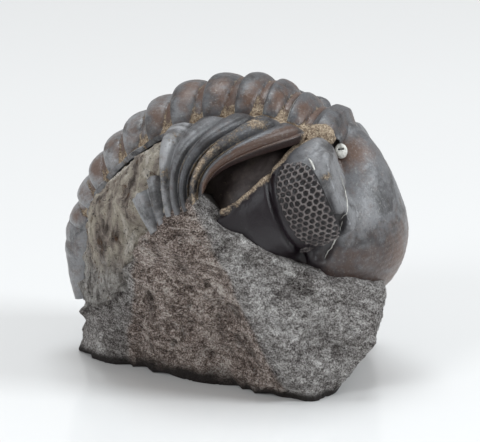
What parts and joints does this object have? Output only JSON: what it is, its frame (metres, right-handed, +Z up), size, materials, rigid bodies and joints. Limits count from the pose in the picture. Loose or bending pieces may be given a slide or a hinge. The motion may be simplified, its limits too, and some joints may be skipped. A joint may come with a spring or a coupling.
{
  "type": "trilobite fossil on matrix",
  "caption": "Half-enrolled phacopid trilobite with large faceted compound eyes, arched over and held by a block of limestone matrix with a flat broken underside.",
  "frame": {"origin": "on the flat underside of the rock, in the animal's plane of symmetry, below the middle of its body", "axes": "+X towards the head, +Y the animal's left side, +Z up from the underside of the rock"},
  "size_m": [0.0434, 0.0343, 0.0362],
  "materials": {
    "shell": "smooth blue-grey calcite cuticle with a dull polish",
    "limestone": "rough grey-brown granular limestone",
    "calcite": "white calcite"
  },
  "bodies": {
    "root": {"matrix": "limestone", "cephalon": "shell", "thoracic_segment_01": "shell", "thoracic_segment_02": "shell", "thoracic_segment_03": "shell", "thoracic_segment_04": "shell", "thoracic_segment_05": "shell", "thoracic_segment_06": "shell", "thoracic_segment_07": "shell", "thoracic_segment_08": "shell", "thoracic_segment_09": "shell", "thoracic_segment_10": "shell", "thoracic_segment_11": "shell", "pygidium": "shell", "crinoid_ossicle": "calcite"}
  },
  "joints": []
}
